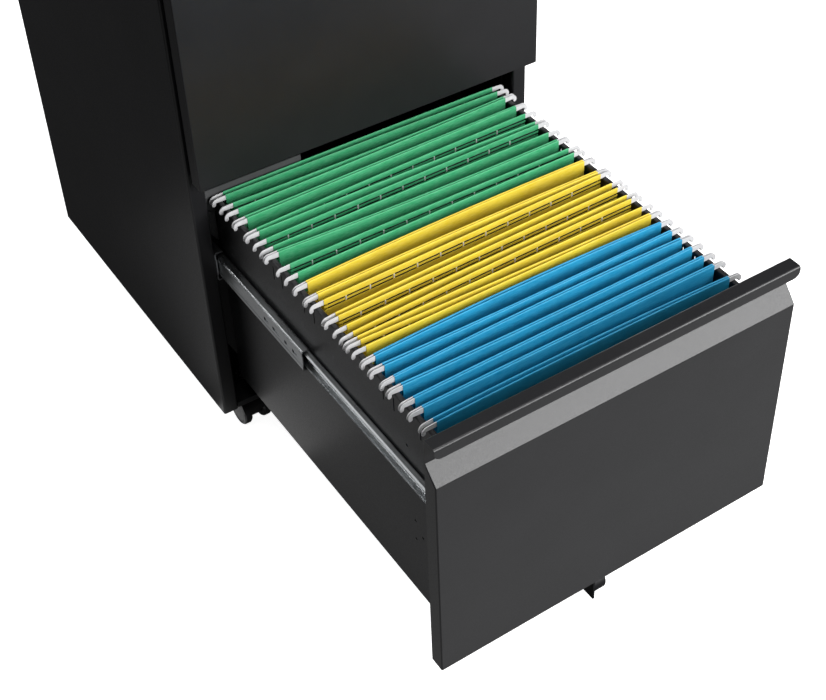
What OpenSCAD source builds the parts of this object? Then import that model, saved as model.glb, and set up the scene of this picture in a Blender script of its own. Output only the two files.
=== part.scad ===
// Two-drawer steel filing pedestal on casters, with hanging files in the open lower drawer.
// Millimetres. +X right, +Y back, +Z up. Origin on the floor, under the middle of the outline
// with the lower drawer pulled out, which is also the plane of the carcass's front.

/* [Carcass] */
// Width over the side panels
cabinet_w = 395; // [380:1:420]
// Depth of the carcass behind its front plane
cabinet_d = 420; // [415:1:460]
// Height from the floor to the top
cabinet_h = 690; // [685:1:720]
// Floor to the underside of the carcass
leg_h = 49; // [46:1:60]
// Width of the front posts folded from the side panels
stile_w = 16.5; // [14:0.5:18]
// Sheet thickness
sheet = 1; // [0.8:0.1:1.2]
// Outer radius of a bend
bend = 2; // [1.6:0.1:3]

/* [Drawer fronts] */
// Width of a drawer front
front_w = 390; // [380:1:394]
// Height of a drawer front
front_h = 289.5; // [285:0.5:295]
// Depth of a drawer front
front_t = 16; // [14:1:20]
// Height of the flat face
face_h = 244.5; // [235:0.5:250]
// Height of the slope above the flat face
slope_h = 17; // [12:1:20]
// Height of the turned-down edge of the finger lip
lip_h = 12; // [8:1:14]
// Carcass underside to the lower front
plinth_h = 21; // [15:1:25]
// Gap between one front and the next
reveal = 3.5; // [2:0.5:5]
// Gap between a closed front and the carcass
front_gap = 6; // [4:0.5:8]

/* [Drawers] */
// Travel of a drawer
travel = 398; // [380:1:400]
// Width over the drawer's side walls
box_w = 336; // [330:1:340]
// Depth of the drawer box behind its front
box_d = 417.5; // [405:0.5:419]
// Underside of the box above the front's lower edge
box_low = 11.5; // [8:0.5:20]
// Top of the side walls above the front's lower edge
box_top = 252; // [240:1:256]
// Middle of the slides above the front's lower edge
slide_at = 177; // [150:1:185]

/* [Files] */
// Width of a folder
file_w = 319; // [300:1:322]
// Length of a hanging bar over its hooks
bar_l = 349; // [346:1:350]
// Height of a bar
bar_h = 8; // [6:0.5:9]
// Depth of a folder below the top of its bars
file_h = 236; // [200:1:238]

/* [Casters] */
// Radius of a caster wheel
wheel_r = 19; // [17:0.5:20]
// Distance from the outline's corner to a swivel axis, along each side
caster_inset = 42.5; // [40:0.5:60]
// Distance from the swivel axis to the wheel axle
trail = 15; // [12:1:18]

/* [Hidden] */
half_w = cabinet_w / 2;
post_x = half_w - stile_w;          // inner face of the posts and uprights
inner_x = half_w - sheet - 0.1;     // clear inside of the side panels
lower_z = leg_h + plinth_h;         // lower edge of the lower front
upper_z = lower_z + front_h + reveal;
open_y = -front_gap - travel;       // back plane of the open front
closed_y = -front_gap;
rail_z = upper_z + front_h + reveal;
wall_x = box_w / 2;
bar_top = box_top + 5.5;
caster_x = half_w - caster_inset;
caster_ys = [caster_inset, cabinet_d - caster_inset];
hole_fit = 0.1;                     // a shaft's radial clearance
black = "#2a2a2c";
grey = "#8e8e8e";
steel = "#b9bcbe";
nylon = "#3a3b3d";

// How far behind the drawer's front the rear and the front bar of each folder hang
green_bars = [[413.6, 406], [391, 384.8], [369.3, 366.4], [349.8, 338.2], [328.5, 313], [300, 297.4],
    [280.2, 268.3]];
yellow_bars = [[254.4, 252], [233.4, 231], [222.9, 204], [196.5, 182.6], [174.1, 162.1], [152.7, 147.2]];
blue_bars = [[135.8, 133.2], [118.7, 116.3], [104.8, 102.4], [89, 86.6], [72.6, 70.2], [58.2, 55.8],
    [40.3, 36.2]];

// ---- sheet metal ----

function unit(v) = v / norm(v);

// Arc that rounds the corner b of the path a, b, c
function corner(a, b, c, r, n) =
    let (
        u = unit(a - b),
        v = unit(c - b),
        half = acos(u * v) / 2,
        middle = b + unit(u + v) * r / sin(half),
        p = b + u * r / tan(half) - middle,
        q = b + v * r / tan(half) - middle,
        turn = 180 - 2 * half
    )
    [for (i = [0:n]) middle + (p * sin(turn * (1 - i / n)) + q * sin(turn * i / n)) / sin(turn)];

function rounded(path, r, n = 4) = [
    path[0],
    for (i = [1:len(path) - 2]) each corner(path[i - 1], path[i], path[i + 1], r, n),
    path[len(path) - 1]
];

function turned(v) = [v[1], -v[0]];

// The path moved to its right by d
function beside(path, d) = [
    for (i = [0:len(path) - 1])
        let (
            a = turned(unit(path[max(i, 1)] - path[max(i, 1) - 1])),
            last = len(path) - 1,
            b = turned(unit(path[min(i, last - 1) + 1] - path[min(i, last - 1)])),
            m = unit(a + b)
        )
        path[i] + m * d / (m * a)
];

// Section of a bent sheet that lies to the right of its path
module bent(path, t = sheet, r = bend) {
    face = rounded(path, r);
    back = beside(face, t);
    polygon(concat(face, [for (i = [len(back) - 1:-1:0]) back[i]]));
}

// A section drawn in X and Z, carried from y0 to y1
module along_y(y0, y1) {
    translate([0, y1, 0]) rotate([90, 0, 0]) linear_extrude(y1 - y0) children();
}

// A section drawn in Y and Z, carried across the middle over a width
module along_x(w) {
    rotate([90, 0, 90]) linear_extrude(w, center = true) children();
}

module box(low, high) {
    translate(low) cube(high - low);
}

module rod_x(r, x0, x1) {
    translate([x0, 0, 0]) rotate([0, 90, 0]) cylinder(r = r, h = x1 - x0, $fn = 48);
}

module rod_y(r, y0, y1) {
    translate([0, y0, 0]) rotate([-90, 0, 0]) cylinder(r = r, h = y1 - y0, $fn = 48);
}

module both_sides() {
    children();
    mirror([1, 0, 0]) children();
}

// ---- carcass ----

module left_panel() {
    rear = cabinet_d;
    difference() {
        translate([0, 0, leg_h]) linear_extrude(cabinet_h - leg_h)
            bent([[-post_x, 16], [-post_x, 0], [-half_w, 0], [-half_w, rear], [-half_w + 15, rear]]);
        box([-post_x - 3, sheet + 0.4, cabinet_h - sheet - 0.2], [-post_x + 1, 20, cabinet_h + 1]);
    }
}

module side_panel_left() {
    color(black) left_panel();
}

module side_panel_right() {
    color(black) mirror([1, 0, 0]) left_panel();
}

module top_panel() {
    low = cabinet_h - 15;
    color(black) difference() {
        along_y(bend - 0.4, cabinet_d - bend + 0.4)
            bent([[-inner_x, low], [-inner_x, cabinet_h], [inner_x, cabinet_h], [inner_x, low]]);
        box([-half_w, cabinet_d - 3.2, 0], [half_w, cabinet_d, cabinet_h - sheet - 0.05]);
    }
}

module back_panel() {
    y = cabinet_d - 3;
    color(black) box([-inner_x, y, leg_h + 2], [inner_x, y + sheet, cabinet_h - sheet - 0.1]);
}

// Tray with a notch at the front that the fifth wheel's bracket closes into
module bottom_panel() {
    rear = cabinet_d - 3.2;
    color(black) difference() {
        union() {
            along_x(2 * post_x - 0.4)
                bent([[rear, leg_h + 14], [rear, leg_h], [0, leg_h], [0, leg_h + 8]]);
            both_sides()
                box([-inner_x, 17, leg_h], [-post_x + 1, rear - 3, leg_h + sheet]);
        }
        both_sides()
            for (y = caster_ys)
                translate([-caster_x, y, leg_h - 1]) cylinder(r = 4.2, h = 4, $fn = 48);
        box([-14, -1, leg_h - 1], [10, 42, leg_h + 10]);
    }
}

module top_front_rail() {
    low = rail_z;
    color(black) difference() {
        along_x(2 * post_x - 0.4)
            bent([[15, low], [0, low], [0, cabinet_h]]);
        translate([lock_x, 0, lock_z]) rod_y(8.1, -1, 3);
    }
}

// Channels behind the posts that carry the slides
module slide_uprights() {
    depth = 40;
    color(black) both_sides()
        for (y = [22, cabinet_d - 68])
            translate([0, y, leg_h + 3]) linear_extrude(cabinet_h - leg_h - 20)
                bent([[-inner_x, depth], [-post_x, depth], [-post_x, 0], [-inner_x, 0]]);
}

module pan_head(r) {
    rotate([-90, 0, 0]) difference() {
        cylinder(r1 = r, r2 = r * 0.7, h = 1.6, $fn = 32);
        for (a = [0, 90])
            rotate(a) translate([-r * 0.5, -0.3, 0.9]) cube([r, 0.6, 1]);
    }
}

module back_panel_screws() {
    y = cabinet_d - 3 + sheet;
    color(steel) both_sides()
        for (z = [leg_h + 25, (leg_h + cabinet_h) / 2, cabinet_h - 40])
            translate([-half_w + 22, y, z]) pan_head(3.5);
}

// ---- lock: the plug turns a rod whose crank lowers a bar behind the drawers ----

lock_x = -150;
lock_z = rail_z + 18;
crank_r = 8.5;
crank_y = 404.6;

module lock_cylinder() {
    color(steel) translate([lock_x, 0, lock_z]) difference() {
        union() {
            rod_y(10, -2, -0.1);
            rod_y(8, -0.2, 24);
        }
        rod_y(5 + hole_fit, -3, 25);
    }
}

module lock_plug() {
    color(steel) translate([lock_x, 0, lock_z]) difference() {
        rod_y(5, -2.6, 25);
        box([-1, -4, -3.6], [1, 8, 3.6]);
    }
}

module lock_rod() {
    color(steel) translate([lock_x, 0, lock_z]) {
        rod_y(2.5, 25, crank_y + 1);
        rotate([0, 45, 0]) {
            box([-crank_r - 3.5, crank_y, -4], [4, crank_y + 3, 4]);
            translate([-crank_r, 0, 0]) rod_y(2, crank_y + 2, crank_y + 9);
        }
    }
}

// Height of a catch bracket's top edge above its drawer front's lower edge
catch_top = 263;

module lock_bar() {
    y0 = crank_y + 4;
    y1 = y0 + 2;
    pin_x = lock_x - crank_r * cos(45);
    pin_z = lock_z + crank_r * sin(45);
    color(steel) {
        difference() {
            union() {
                box([-190, y0, lower_z + catch_top - 30], [-182, y1, pin_z + 6]);
                box([-190, y0, pin_z - 6], [lock_x + 3, y1, pin_z + 6]);
            }
            box([pin_x - 5.5, y0 - 1, pin_z - 2.4], [pin_x + 2.6, y1 + 1, pin_z + 2.4]);
        }
        for (z = [lower_z, upper_z])
            box([-190, y0, z + catch_top + 2], [-172, y1, z + catch_top + 14]);
    }
}

// ---- casters ----

module caster_stems() {
    color(steel) both_sides()
        for (y = caster_ys)
            translate([-caster_x, y, 0]) {
                translate([0, 0, 30]) cylinder(r = 3.5, h = 17, $fn = 48);
                translate([0, 0, leg_h - 3]) cylinder(r = 8, h = 3, $fn = 6);
                translate([0, 0, leg_h - 1]) cylinder(r = 4, h = 14, $fn = 48);
                translate([0, 0, leg_h + sheet + 0.1]) cylinder(r = 7.5, h = 6, $fn = 6);
            }
}

web_t = 12.5;
caster_w = 34;

module at_caster(left, front) {
    translate([left ? -caster_x : caster_x, caster_ys[front ? 0 : 1], 0]) children();
}

module caster_hood() {
    color(nylon) difference() {
        union() {
            translate([-web_t / 2, 0, 0]) {
                translate([0, -trail, wheel_r]) rod_x(13, 0, web_t);
                box([0, -trail - 4, wheel_r], [web_t, 8, 40.5]);
            }
            translate([0, 0, 24]) cylinder(r = 9, h = 21, $fn = 64);
            difference() {
                translate([0, -trail, wheel_r]) rod_x(wheel_r + 3.5, -caster_w / 2, caster_w / 2);
                translate([0, -trail, wheel_r]) rod_x(wheel_r + 1.5, -caster_w, caster_w);
                box([-50, -70, -10], [50, 50, wheel_r + 8]);
            }
        }
        translate([0, 0, 20]) cylinder(r = 3.5 + hole_fit, h = 30, $fn = 64);
        translate([0, -trail, wheel_r]) rod_x(3, -20, 20);
        both_sides()
            translate([0, -trail, wheel_r]) rod_x(wheel_r + 1, web_t / 2, 20);
    }
}

module caster_axle() {
    color(steel) translate([0, -trail, wheel_r]) rod_x(3, -caster_w / 2 + 0.5, caster_w / 2 - 0.5);
}

// Twin wheels: rounded tread, dished outer face and a hub
module caster_wheels() {
    t = (caster_w - web_t) / 2 - 0.6;
    color(nylon) both_sides()
        translate([-caster_w / 2, -trail, wheel_r]) rotate([0, 90, 0]) rotate_extrude($fn = 96)
            polygon([
                [3 + hole_fit, 0], [6, 0], [6, 1.6], [wheel_r - 4.5, 1.6], [wheel_r - 3.5, 0],
                [wheel_r - 2, 0], [wheel_r - 0.6, 0.6], [wheel_r, 2],
                [wheel_r, t - 2], [wheel_r - 0.6, t - 0.6], [wheel_r - 2, t], [3 + hole_fit, t]
            ]);
}

module caster_hood_front_left() { at_caster(true, true) caster_hood(); }
module caster_hood_front_right() { at_caster(false, true) caster_hood(); }
module caster_hood_rear_left() { at_caster(true, false) caster_hood(); }
module caster_hood_rear_right() { at_caster(false, false) caster_hood(); }
module caster_axle_front_left() { at_caster(true, true) caster_axle(); }
module caster_axle_front_right() { at_caster(false, true) caster_axle(); }
module caster_axle_rear_left() { at_caster(true, false) caster_axle(); }
module caster_axle_rear_right() { at_caster(false, false) caster_axle(); }
module caster_wheels_front_left() { at_caster(true, true) caster_wheels(); }
module caster_wheels_front_right() { at_caster(false, true) caster_wheels(); }
module caster_wheels_rear_left() { at_caster(true, false) caster_wheels(); }
module caster_wheels_rear_right() { at_caster(false, false) caster_wheels(); }

// ---- fifth wheel under the lower drawer ----

fifth_r = 14;
fifth_x = 9;
fifth_w = 16;
fifth_at = [0, open_y + 24, fifth_r + 2];

module fifth_wheel_bracket() {
    side_x = fifth_x - fifth_w / 2 - 3;
    floor_z = lower_z + box_low + sheet;
    color(black) difference() {
        along_y(fifth_at[1] - 17, fifth_at[1] + 17)
            bent([[side_x, 6], [side_x, floor_z], [side_x + 34, floor_z]], 2, 3);
        translate(fifth_at) rod_x(3, -30, 40);
        for (s = [-1, 1])
            translate([fifth_x + 4, fifth_at[1] + s * 10, floor_z - 5]) cylinder(r = 2.2, h = 9, $fn = 32);
    }
}

module fifth_wheel() {
    color(nylon) translate([fifth_x - fifth_w / 2, fifth_at[1], fifth_at[2]])
        rotate([0, 90, 0]) rotate_extrude($fn = 96)
            polygon([
                [3 + hole_fit, 0], [fifth_r - 1.5, 0], [fifth_r - 0.4, 0.4], [fifth_r, 1.5],
                [fifth_r, fifth_w - 1.5], [fifth_r - 0.4, fifth_w - 0.4], [fifth_r - 1.5, fifth_w],
                [3 + hole_fit, fifth_w]
            ]);
}

module fifth_wheel_axle() {
    left = fifth_x - fifth_w / 2 - 3;
    right = fifth_x + fifth_w / 2;
    color(steel) translate(fifth_at) {
        rod_x(3, left - 0.5, right + 3);
        rod_x(5, left - 4, left - 0.1);
        rod_x(5, right + 0.6, right + 3);
    }
}

// ---- drawers, drawn from the back plane and the lower edge of their front ----

module lower() {
    translate([0, open_y, lower_z]) children();
}

module upper() {
    translate([0, closed_y, upper_z]) children();
}

// One sheet: bottom return, flat face, slope, finger recess and the hooked lip
module front_skin() {
    back_y = -sheet;
    slope_top = face_h + slope_h;
    color(black) difference() {
        union() {
            along_x(front_w)
                bent([
                    [back_y, 0], [-front_t, 0], [-front_t, face_h], [back_y, slope_top],
                    [back_y, front_h - sheet], [-front_t + sheet, front_h - sheet],
                    [-front_t + sheet, front_h - lip_h]
                ]);
            for (s = [-1, 1])
                translate([s * (front_w / 2 - sheet / 2), 0, 0]) along_x(sheet)
                    polygon([
                        [0, 0.8], [-front_t + 0.8, 0.8], [-front_t + 0.5, face_h],
                        [back_y, slope_top - 0.6], [0, slope_top - 0.6]
                    ]);
        }
        both_sides()
            translate([-front_w / 2, -front_t, front_h - lip_h]) difference() {
                box([-1, -1, -1], [6, sheet + 1, 6]);
                translate([6, 0, 6]) rod_y(6, -2, sheet + 2);
            }
    }
}

module front_liner() {
    color(black) along_x(front_w - 2 * sheet - 0.4)
        bent([[0, face_h + slope_h - 3], [0, 1.3], [-14, 1.3]]);
}

// Side wall with a safety edge that the hooks ride on, and hanging slots
module box_left() {
    color(black) difference() {
        along_y(0.2, box_d - sheet - 0.2)
            bent([
                [-wall_x + 12, box_low], [-wall_x, box_low], [-wall_x, box_top],
                [-wall_x + 5.5, box_top], [-wall_x + 5.5, box_top - 5]
            ]);
        for (y = [47, 89, 106, 224, 242, 283, 299])
            box([-wall_x - 1, y, box_top - 22], [-wall_x + 1.6, y + 1.6, box_top - 6]);
        for (p = [[71, 204], [63, 113], [63, 88], [51, 100]])
            translate([-wall_x, p[0], p[1]]) rod_x(1.5, -1, 2);
    }
}

module box_right() {
    mirror([1, 0, 0]) box_left();
}

module box_floor() {
    z = box_low + sheet + 0.1;
    color(black) along_x(box_w - 2 * sheet - 1.6)
        bent([[box_d - 1.2, z + 12], [box_d - 1.2, z], [0.2, z], [0.2, z + 12]], sheet, 1.5);
}

// Rear wall, with wings below the slides
module box_back() {
    in_x = wall_x - 0.2;
    wing_x = wall_x + 9;
    half = [
        [0, box_low + 1.2], [in_x, box_low + 1.2], [in_x, 43], [wing_x, 64],
        [wing_x, 150], [in_x, 150], [in_x, box_top], [0, box_top]
    ];
    color(black) along_y(box_d - 1, box_d)
        polygon(concat(half, [for (i = [len(half) - 1:-1:0]) [-half[i][0], half[i][1]]]));
}

// Plate on the rear wall that the lock bar drops in front of, with its closing ramp pressed forward
module catch_bracket() {
    y = box_d + 0.1;
    out_x = -wall_x - 10;
    color(grey) {
        along_y(y, y + 1.2)
            polygon([
                [-70, catch_top], [out_x, catch_top], [out_x, 212], [-wall_x - 1, 200],
                [-wall_x - 1, 235], [-wall_x + 8, 243], [-70, 243]
            ]);
        along_y(y - 0.7, y + 0.1)
            polygon([[out_x, 242], [out_x, 229], [out_x + 6, 236]]);
    }
}

module front_screws() {
    color(steel) for (x = [-120, 0, 120], z = [40, 220])
        translate([x, 0.1, z]) pan_head(3.5);
}

module lower_front_skin() { lower() front_skin(); }
module lower_front_liner() { lower() front_liner(); }
module lower_box_left() { lower() box_left(); }
module lower_box_right() { lower() box_right(); }
module lower_box_floor() { lower() box_floor(); }
module lower_box_back() { lower() box_back(); }
module lower_catch_bracket() { lower() catch_bracket(); }
module lower_front_screws() { lower() front_screws(); }
module upper_front_skin() { upper() front_skin(); }
module upper_front_liner() { upper() front_liner(); }
module upper_box_left() { upper() box_left(); }
module upper_box_right() { upper() box_right(); }
module upper_box_floor() { upper() box_floor(); }
module upper_box_back() { upper() box_back(); }
module upper_catch_bracket() { upper() catch_bracket(); }
module upper_front_screws() { upper() front_screws(); }

// ---- ball-bearing slides ----

slide_t = post_x - wall_x;          // upright to drawer wall
cabinet_half = 17.5;                // half heights of the three members
middle_half = 12.4;
drawer_half = 8.6;
outer_ball = 1.9;
inner_ball = 1.35;
cabinet_len = 400;
middle_len = 366;
middle_rest = 33;                   // front end of a closed middle member
drawer_len = 400;
outer_cage_len = 150;
inner_cage_len = 140;

// A section with its x measured from the upright, on both sides of the cabinet
module slide_pair(y0, len, z) {
    both_sides()
        translate([-post_x, 0, z]) along_y(y0, y0 + len) children();
}

module cabinet_member(z) {
    h = cabinet_half;
    color(steel) slide_pair(2, cabinet_len, z)
        bent([[9.5, -h], [0.05, -h], [0.05, h], [9.5, h]], 1.2, 2);
}

// Oblong holes and a latch window near the front end of the web
module middle_member(y0, z) {
    h = middle_half;
    color(steel) difference() {
        slide_pair(y0, middle_len, z)
            bent([[11, -h], [2.7, -h], [2.7, h], [11, h]], 1, 1.8);
        both_sides()
            for (p = [[11, 8, -2], [44, 14, 0], [66, 9, 0], [200, 14, 0], [300, 14, 0]])
                translate([-post_x + 1, y0 + p[0], z + p[2] - 2.2]) cube([4, p[1], 4.4]);
    }
}

module drawer_member(y0, z) {
    h = drawer_half;
    color(steel) slide_pair(y0, drawer_len, z)
        bent([[5.6, h], [slide_t - 0.05, h], [slide_t - 0.05, -h], [5.6, -h]], 1, 1.8);
}

// Retainer bent round a row of balls above and a row below
module ball_cage(y0, len, z, web, deep, row, ball) {
    pitch = 17;
    count = floor((len - 10) / pitch);
    color(steel) {
        difference() {
            slide_pair(y0, len, z)
                bent([[deep, -row - 0.3], [web, -row - 0.3], [web, row + 0.3], [deep, row + 0.3]], 0.6, 1.2);
            cage_rows(y0, z, web, deep, count, pitch)
                translate([0, 0, -row - 2]) cylinder(r = ball + hole_fit, h = 2 * row + 4, $fn = 32);
        }
        cage_rows(y0, z, web, deep, count, pitch)
            for (s = [-1, 1])
                translate([0, 0, s * row]) sphere(r = ball, $fn = 32);
    }
}

module cage_rows(y0, z, web, deep, count, pitch) {
    both_sides()
        for (i = [0:count])
            translate([-post_x + (web + deep) / 2 + 0.9, y0 + 6 + i * pitch, z]) children();
}

module outer_cage(y0, z) {
    ball_cage(y0, outer_cage_len, z, 1.7, 9, (cabinet_half - 1.2 + middle_half) / 2, outer_ball);
}

module inner_cage(y0, z) {
    ball_cage(y0, inner_cage_len, z, 4.2, 11, (middle_half - 1 + drawer_half) / 2, inner_ball);
}

// Where the cages and the middle member stand, for a drawer pulled out by d
function outer_cage_y(d) = 125 - d / 4;
function middle_y(d) = middle_rest - d / 2;
function inner_cage_y(d) = 145.5 - 0.75 * d;
drawer_member_y = 4;

module lower_slide_cabinet() { cabinet_member(lower_z + slide_at); }
module lower_slide_middle() { middle_member(middle_y(travel), lower_z + slide_at); }
module lower_slide_drawer() { drawer_member(open_y + drawer_member_y, lower_z + slide_at); }
module lower_cage_outer() { outer_cage(outer_cage_y(travel), lower_z + slide_at); }
module lower_cage_inner() { inner_cage(inner_cage_y(travel), lower_z + slide_at); }
module upper_slide_cabinet() { cabinet_member(upper_z + slide_at); }
module upper_slide_middle() { middle_member(middle_y(0), upper_z + slide_at); }
module upper_slide_drawer() { drawer_member(closed_y + drawer_member_y, upper_z + slide_at); }
module upper_cage_outer() { outer_cage(outer_cage_y(0), upper_z + slide_at); }
module upper_cage_inner() { inner_cage(inner_cage_y(0), upper_z + slide_at); }

// ---- hanging files ----

bar_t = 0.8;
card = 0.6;
hem_t = 1.7;
hem_h = 12;

// Flat bar whose ends hook over the drawer's side walls
module bar(y) {
    end = bar_l / 2;
    low = bar_top - bar_h;
    rest = bar_top - 5.3;
    tip = bar_top - 9;
    half = [
        [0, low], [file_w / 2 + 1, low], [file_w / 2 + 3, rest], [end - 5.5, rest], [end - 5, tip + 1],
        [end - 3.6, tip], [end - 1.6, tip], [end - 0.4, tip + 1.2], [end, bar_top - 3],
        [end - 1, bar_top - 0.9], [end - 3, bar_top], [0, bar_top]
    ];
    along_y(y - bar_t / 2, y + bar_t / 2)
        polygon(concat(half, [for (i = [len(half) - 1:-1:0]) [-half[i][0], half[i][1]]]));
}

// Card folded to a V, with a hem round each bar
module folder(pair) {
    low = bar_top - file_h;
    hem_low = bar_top + 0.6 - hem_h;
    middle = (pair[0] + pair[1]) / 2;
    along_x(file_w) difference() {
        union() {
            polygon(concat(
                [[pair[0] + card / 2, hem_low + 1], [middle + card, low], [middle - card, low]],
                [[pair[1] - card / 2, hem_low + 1], [pair[1] + card / 2, hem_low + 1]],
                [[middle, low + 4], [pair[0] - card / 2, hem_low + 1]]
            ));
            for (y = pair)
                translate([y - hem_t / 2, hem_low]) square([hem_t, hem_h]);
        }
        for (y = pair)
            translate([y - bar_t / 2 - 0.1, bar_top - bar_h - 0.2]) square([bar_t + 0.2, bar_h + 0.3]);
    }
}

module folders(bars, tint) {
    color(tint) lower() for (pair = bars) folder(pair);
}

module hanging_bars(bars) {
    color("#dcdcdc") lower() for (pair = bars, y = pair) bar(y);
}

module green_folders() { folders(green_bars, "#2f9e68"); }
module yellow_folders() { folders(yellow_bars, "#e3c81f"); }
module blue_folders() { folders(blue_bars, "#0f86c0"); }
module green_bars_steel() { hanging_bars(green_bars); }
module yellow_bars_steel() { hanging_bars(yellow_bars); }
module blue_bars_steel() { hanging_bars(blue_bars); }

side_panel_left();
side_panel_right();
top_panel();
back_panel();
bottom_panel();
top_front_rail();
slide_uprights();
back_panel_screws();
lock_cylinder();
lock_plug();
lock_rod();
lock_bar();
caster_stems();
caster_hood_front_left();
caster_hood_front_right();
caster_hood_rear_left();
caster_hood_rear_right();
caster_axle_front_left();
caster_axle_front_right();
caster_axle_rear_left();
caster_axle_rear_right();
caster_wheels_front_left();
caster_wheels_front_right();
caster_wheels_rear_left();
caster_wheels_rear_right();
fifth_wheel_bracket();
fifth_wheel();
fifth_wheel_axle();
lower_front_skin();
lower_front_liner();
lower_box_left();
lower_box_right();
lower_box_floor();
lower_box_back();
lower_catch_bracket();
lower_front_screws();
upper_front_skin();
upper_front_liner();
upper_box_left();
upper_box_right();
upper_box_floor();
upper_box_back();
upper_catch_bracket();
upper_front_screws();
lower_slide_cabinet();
lower_slide_middle();
lower_slide_drawer();
lower_cage_outer();
lower_cage_inner();
upper_slide_cabinet();
upper_slide_middle();
upper_slide_drawer();
upper_cage_outer();
upper_cage_inner();
green_folders();
yellow_folders();
blue_folders();
green_bars_steel();
yellow_bars_steel();
blue_bars_steel();
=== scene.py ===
# Looks of a two-drawer steel filing pedestal with hanging files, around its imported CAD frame.
import math
import bmesh
import bpy
import numpy as np
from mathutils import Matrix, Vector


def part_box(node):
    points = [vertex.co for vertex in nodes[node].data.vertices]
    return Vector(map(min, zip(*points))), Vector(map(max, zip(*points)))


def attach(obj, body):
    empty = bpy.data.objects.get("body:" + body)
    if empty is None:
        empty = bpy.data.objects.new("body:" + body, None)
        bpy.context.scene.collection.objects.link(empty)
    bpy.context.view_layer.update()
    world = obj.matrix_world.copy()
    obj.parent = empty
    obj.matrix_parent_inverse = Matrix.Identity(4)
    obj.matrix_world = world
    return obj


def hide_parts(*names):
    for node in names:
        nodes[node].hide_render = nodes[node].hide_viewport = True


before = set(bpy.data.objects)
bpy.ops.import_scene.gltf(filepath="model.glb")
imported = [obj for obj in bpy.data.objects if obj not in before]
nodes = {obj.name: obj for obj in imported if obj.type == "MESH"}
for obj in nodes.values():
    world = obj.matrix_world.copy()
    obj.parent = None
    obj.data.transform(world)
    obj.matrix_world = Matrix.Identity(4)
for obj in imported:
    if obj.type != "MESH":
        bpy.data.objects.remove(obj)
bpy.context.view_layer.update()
mm = 0.001
print("frame loaded:", len(nodes), "nodes")


def hexColour(text):
    # Linear RGBA of an sRGB hex value such as 2b2c2e.
    part = np.array([int(text[i:i + 2], 16) for i in (0, 2, 4)]) / 255
    linear = np.where(part <= 0.04045, part / 12.92, ((part + 0.055) / 1.055) ** 2.4)
    return (*linear.tolist(), 1.0)


def nodeBox(name):
    # Lowest and highest corner of a CAD node, in millimetres.
    low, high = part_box(name)
    return np.array(low) / mm, np.array(high) / mm


def nodePoints(name):
    # The corners of a CAD node's mesh, in millimetres, one row each.
    mesh = nodes[name].data
    flat = np.empty(len(mesh.vertices) * 3)
    mesh.vertices.foreach_get("co", flat)
    return flat.reshape(-1, 3) / mm


def addNode(tree, kind, settings=None, links=None, output=0):
    # Adds a shader node, sets its inputs or properties, links its inputs from sockets, gives one output.
    node = tree.nodes.new(kind)
    for key, value in (settings or {}).items():
        if isinstance(key, int) or key in node.inputs:
            node.inputs[key].default_value = value
        else:
            setattr(node, key, value)
    for key, socket in (links or {}).items():
        tree.links.new(socket, node.inputs[key])
    return node.outputs[output]


def startMaterial(name):
    # A material without nodes, its tree, and the piece's own coordinates to draw patterns on.
    material = bpy.data.materials.new(name)
    material.use_nodes = True
    tree = material.node_tree
    tree.nodes.clear()
    return material, tree, addNode(tree, "ShaderNodeTexCoord", output="Object")


def finishMaterial(material, settings, links=None):
    # The shader with its uniform values and its patterns, joined to the material's output.
    tree = material.node_tree
    shader = addNode(tree, "ShaderNodeBsdfPrincipled", settings, links)
    tree.links.new(shader, tree.nodes.new("ShaderNodeOutputMaterial").inputs["Surface"])
    return material


def grains(size, detail=2):
    # Settings of a noise whose grains are about size millimetres across.
    return {"Scale": 1 / (size * mm), "Detail": detail, "Roughness": 0.55}


def spread(low, high, start=0.3, end=0.7):
    # Settings that turn a noise from start to end into numbers from low to high.
    return {"From Min": start, "From Max": end, "To Min": low, "To Max": high}


def drawnOut(x, y, z):
    # Settings that stretch a pattern this many times along each axis.
    return {"Scale": (1 / x, 1 / y, 1 / z)}


# Sockets of a Mix node that mixes colours: its share of the second colour, both colours, the result.
mixShare = 0
mixFirst = 6
mixSecond = 7
mixResult = 2


def powderCoat(name, dark, light, roughness):
    # Powder-coated steel: epoxy powder, sprayed on and baked. The skin is satin with a fine orange
    # peel, so reflections are broad and soft, and grains that stayed proud show as pale flecks.
    material, tree, place = startMaterial(name)
    cloud = addNode(tree, "ShaderNodeTexNoise", grains(60, 3), {"Vector": place})
    peel = addNode(tree, "ShaderNodeTexNoise", grains(0.9), {"Vector": place})
    speck = addNode(tree, "ShaderNodeTexNoise", grains(0.45, 1), {"Vector": place})
    cloudShare = addNode(tree, "ShaderNodeMapRange", spread(0, 1), {"Value": cloud})
    fleckShare = addNode(tree, "ShaderNodeMapRange", spread(0, 0.5, 0.55, 0.8), {"Value": speck})
    clouded = addNode(tree, "ShaderNodeMix",
                      {"data_type": "RGBA", mixFirst: hexColour(dark), mixSecond: hexColour(light)},
                      {mixShare: cloudShare}, mixResult)
    flecked = addNode(tree, "ShaderNodeMix", {"data_type": "RGBA", mixSecond: hexColour("3a3b3d")},
                      {mixShare: fleckShare, mixFirst: clouded}, mixResult)
    dullness = addNode(tree, "ShaderNodeMapRange", spread(roughness - 0.06, roughness + 0.07),
                       {"Value": peel})
    relief = addNode(tree, "ShaderNodeBump", {"Strength": 1, "Distance": 0.02 * mm}, {"Height": peel})
    return finishMaterial(material, {"Metallic": 0, "IOR": 1.5},
                          {"Base Color": flecked, "Roughness": dullness, "Normal": relief})


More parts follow.
